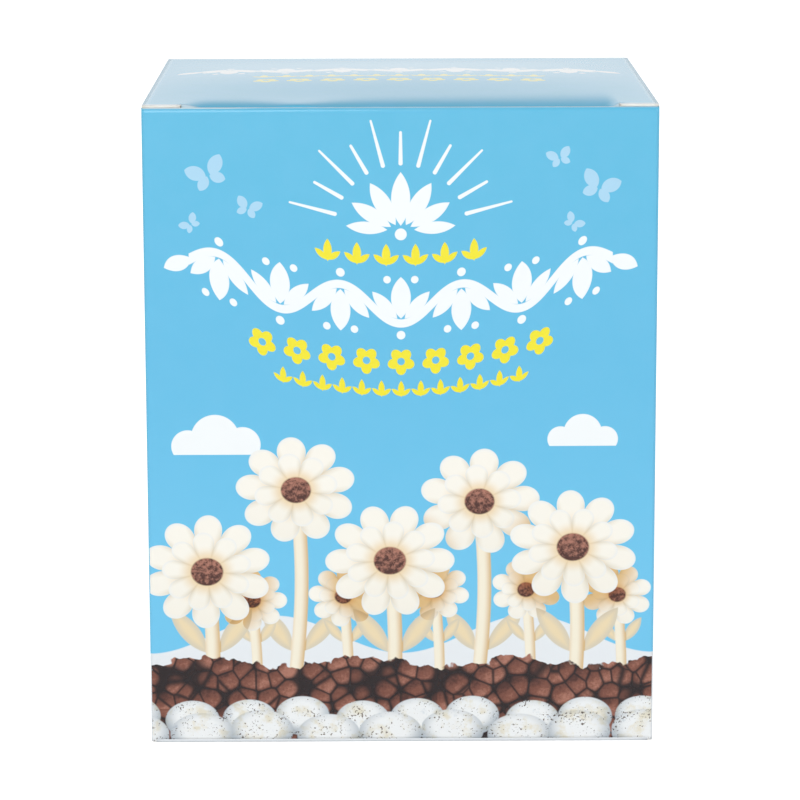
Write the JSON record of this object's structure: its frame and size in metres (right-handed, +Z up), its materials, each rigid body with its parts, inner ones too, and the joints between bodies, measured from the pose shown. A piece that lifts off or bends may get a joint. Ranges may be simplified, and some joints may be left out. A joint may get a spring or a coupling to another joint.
{
  "type": "mushroom grow kit box",
  "caption": "Folding carton of a mushroom grow kit: hinged tuck lid over dust flaps, lock bottom, with a bagged grow block and a packet of casing soil inside.",
  "frame": {"origin": "middle of the closed carton's base, on the surface that it stands on", "axes": "+Z up; the printed front faces -Y; +X to the right of someone who looks at the front"},
  "size_m": [0.13, 0.116, 0.166],
  "materials": {
    "printed_board": "satin",
    "plain_board": "matte",
    "mycelium_block": "matte",
    "clear_film": "gloss",
    "casing_soil": "satin"
  },
  "bodies": {
    "carton": {"carton_walls": "printed_board", "bottom_tongue_flap": "printed_board", "bottom_notched_flap": "plain_board", "bottom_side_flap_left": "plain_board", "bottom_side_flap_right": "plain_board", "grow_block": "mycelium_block", "film_bag": "clear_film", "soil_packet": "casing_soil"},
    "lid": {"lid": "printed_board"},
    "tuck_flap": {"tuck_flap": "printed_board"},
    "dust_flap_left": {"dust_flap_left": "plain_board"},
    "dust_flap_right": {"dust_flap_right": "plain_board"}
  },
  "joints": [
    {"name": "lid_crease", "type": "hinge", "parent": "carton", "child": "lid", "pos_m": [0, 0.05825, 0.1645], "axis": [-1, 0, 0], "range_deg": [0, 200]},
    {"name": "tuck_crease", "type": "hinge", "parent": "lid", "child": "tuck_flap", "pos_m": [0, -0.05706, 0.16153], "axis": [-1, 0, 0], "range_deg": [0, 60]},
    {"name": "dust_left_crease", "type": "hinge", "parent": "carton", "child": "dust_flap_left", "pos_m": [-0.065, 0, 0.1636], "axis": [0, -1, 0], "range_deg": [0, 110]},
    {"name": "dust_right_crease", "type": "hinge", "parent": "carton", "child": "dust_flap_right", "pos_m": [0.065, 0, 0.1636], "axis": [0, 1, 0], "range_deg": [0, 110]}
  ],
  "couplings": [
    {"joint": "tuck_crease", "follows": "lid_crease", "ratio": 0.3},
    {"joint": "dust_left_crease", "follows": "lid_crease", "ratio": 0.55},
    {"joint": "dust_right_crease", "follows": "lid_crease", "ratio": 0.55}
  ]
}
